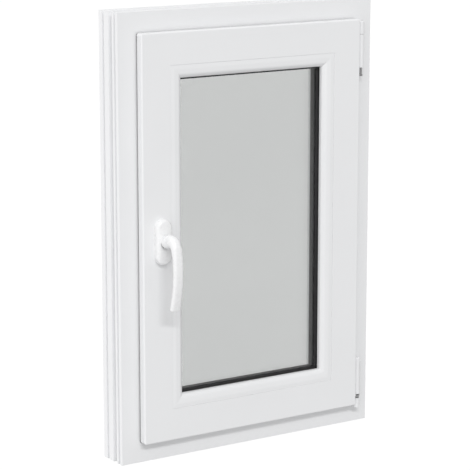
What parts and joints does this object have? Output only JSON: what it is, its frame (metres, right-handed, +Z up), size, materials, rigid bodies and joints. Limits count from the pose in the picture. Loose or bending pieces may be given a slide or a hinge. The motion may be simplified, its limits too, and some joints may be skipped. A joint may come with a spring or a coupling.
{
  "type": "tilt-and-turn casement window",
  "caption": "White plastic-framed window with an inward-opening glazed sash that turns on side hinges or tilts from the top, worked by a lever handle.",
  "frame": {"origin": "middle of the sill's seating face: mid-width and mid-depth of the frame, on its bottom face", "axes": "+Z up, +X to the right and +Y to the outside, as seen by someone in the room"},
  "size_m": [0.5, 0.132, 0.75],
  "materials": {
    "pvc_profile": "smooth satin white PVC-U",
    "galvanised_steel": "galvanised",
    "hardware_steel": "zinc plated, satin",
    "zinc_casting": "die-cast, satin",
    "dark_pin_steel": "dark phosphated",
    "seal_rubber": "black extruded seal",
    "spacer_black": "matt black warm edge",
    "edge_sealant": "black sealant",
    "block_plastic": "moulded",
    "cap_plastic": "white moulded, satin",
    "handle_coating": "white powder coat, satin",
    "window_glass": "clear float, faintly grey"
  },
  "bodies": {
    "frame": {"frame_gasket": "seal_rubber", "frame_hardware_screws": "hardware_steel", "frame_head": "pvc_profile", "frame_jamb_left": "pvc_profile", "frame_jamb_right": "pvc_profile", "frame_sill": "pvc_profile", "frame_steel_rails": "galvanised_steel", "frame_steel_uprights": "galvanised_steel", "locking_strikers": "zinc_casting", "tilt_striker": "zinc_casting", "corner_bearing": "hardware_steel", "corner_bearing_cap": "cap_plastic", "stay_bearing": "hardware_steel", "stay_bearing_cap": "cap_plastic", "stay_bearing_pin": "dark_pin_steel"},
    "swivel": {"swivel_pin": "dark_pin_steel"},
    "sash": {"bead_bottom": "pvc_profile", "bead_gasket": "seal_rubber", "bead_left": "pvc_profile", "bead_right": "pvc_profile", "bead_top": "pvc_profile", "bottom_faceplate": "hardware_steel", "corner_drive_bottom": "hardware_steel", "corner_drive_top": "hardware_steel", "gear_case": "zinc_casting", "gear_faceplate": "hardware_steel", "glass_edge_seal": "edge_sealant", "glass_pane_outside": "window_glass", "glass_pane_room": "window_glass", "glass_spacer": "spacer_black", "glazing_blocks": "block_plastic", "glazing_gasket_outer": "seal_rubber", "handle_base": "zinc_casting", "handle_cover": "handle_coating", "handle_screws": "hardware_steel", "hinge_strap": "hardware_steel", "hinge_strap_cap": "cap_plastic", "sash_bottom_rail": "pvc_profile", "sash_gasket": "seal_rubber", "sash_hardware_screws": "hardware_steel", "sash_steel_rails": "galvanised_steel", "sash_steel_uprights": "galvanised_steel", "sash_stile_left": "pvc_profile", "sash_stile_right": "pvc_profile", "sash_top_rail": "pvc_profile", "top_faceplate": "hardware_steel"},
    "stay": {"stay_arm": "hardware_steel", "stay_knuckle_cap": "cap_plastic"},
    "handle": {"handle_lever": "handle_coating", "handle_spindle": "hardware_steel", "gear_pinion": "hardware_steel"},
    "left_rod": {"drive_rod_left": "hardware_steel", "roller_cams_left": "hardware_steel"},
    "top_rod": {"drive_rod_top": "hardware_steel", "roller_cam_top": "hardware_steel"},
    "bottom_rod": {"drive_rod_bottom": "hardware_steel", "roller_cam_bottom": "hardware_steel"}
  },
  "joints": [
    {"name": "turn", "type": "hinge", "parent": "frame", "child": "swivel", "pos_m": [0.222, -0.041, 0.038], "axis": [0, 0, 1], "range_deg": [0, 100]},
    {"name": "tilt", "type": "hinge", "parent": "swivel", "child": "sash", "pos_m": [0.222, -0.041, 0.049], "axis": [1, 0, 0], "range_deg": [0, 8]},
    {"name": "stay_swing", "type": "hinge", "parent": "swivel", "child": "stay", "pos_m": [0.222, -0.041, 0.7], "axis": [0, 0, 1], "range_deg": [0, 29]},
    {"name": "handle_turn", "type": "hinge", "parent": "sash", "child": "handle", "pos_m": [-0.1805, -0.048, 0.375], "axis": [0, -1, 0], "range_deg": [0, 180]},
    {"name": "left_rod_slide", "type": "slide", "parent": "sash", "child": "left_rod", "axis": [0, 0, -1], "range_m": [0, 0.0361]},
    {"name": "top_rod_slide", "type": "slide", "parent": "sash", "child": "top_rod", "axis": [-1, 0, 0], "range_m": [0, 0.0361]},
    {"name": "bottom_rod_slide", "type": "slide", "parent": "sash", "child": "bottom_rod", "axis": [1, 0, 0], "range_m": [0, 0.0361]}
  ],
  "couplings": [
    {"joint": "stay_swing", "follows": "tilt", "ratio": 3.46},
    {"joint": "left_rod_slide", "follows": "handle_turn", "m_per_rad": 0.011459},
    {"joint": "top_rod_slide", "follows": "handle_turn", "m_per_rad": 0.011459},
    {"joint": "bottom_rod_slide", "follows": "handle_turn", "m_per_rad": 0.011459}
  ]
}
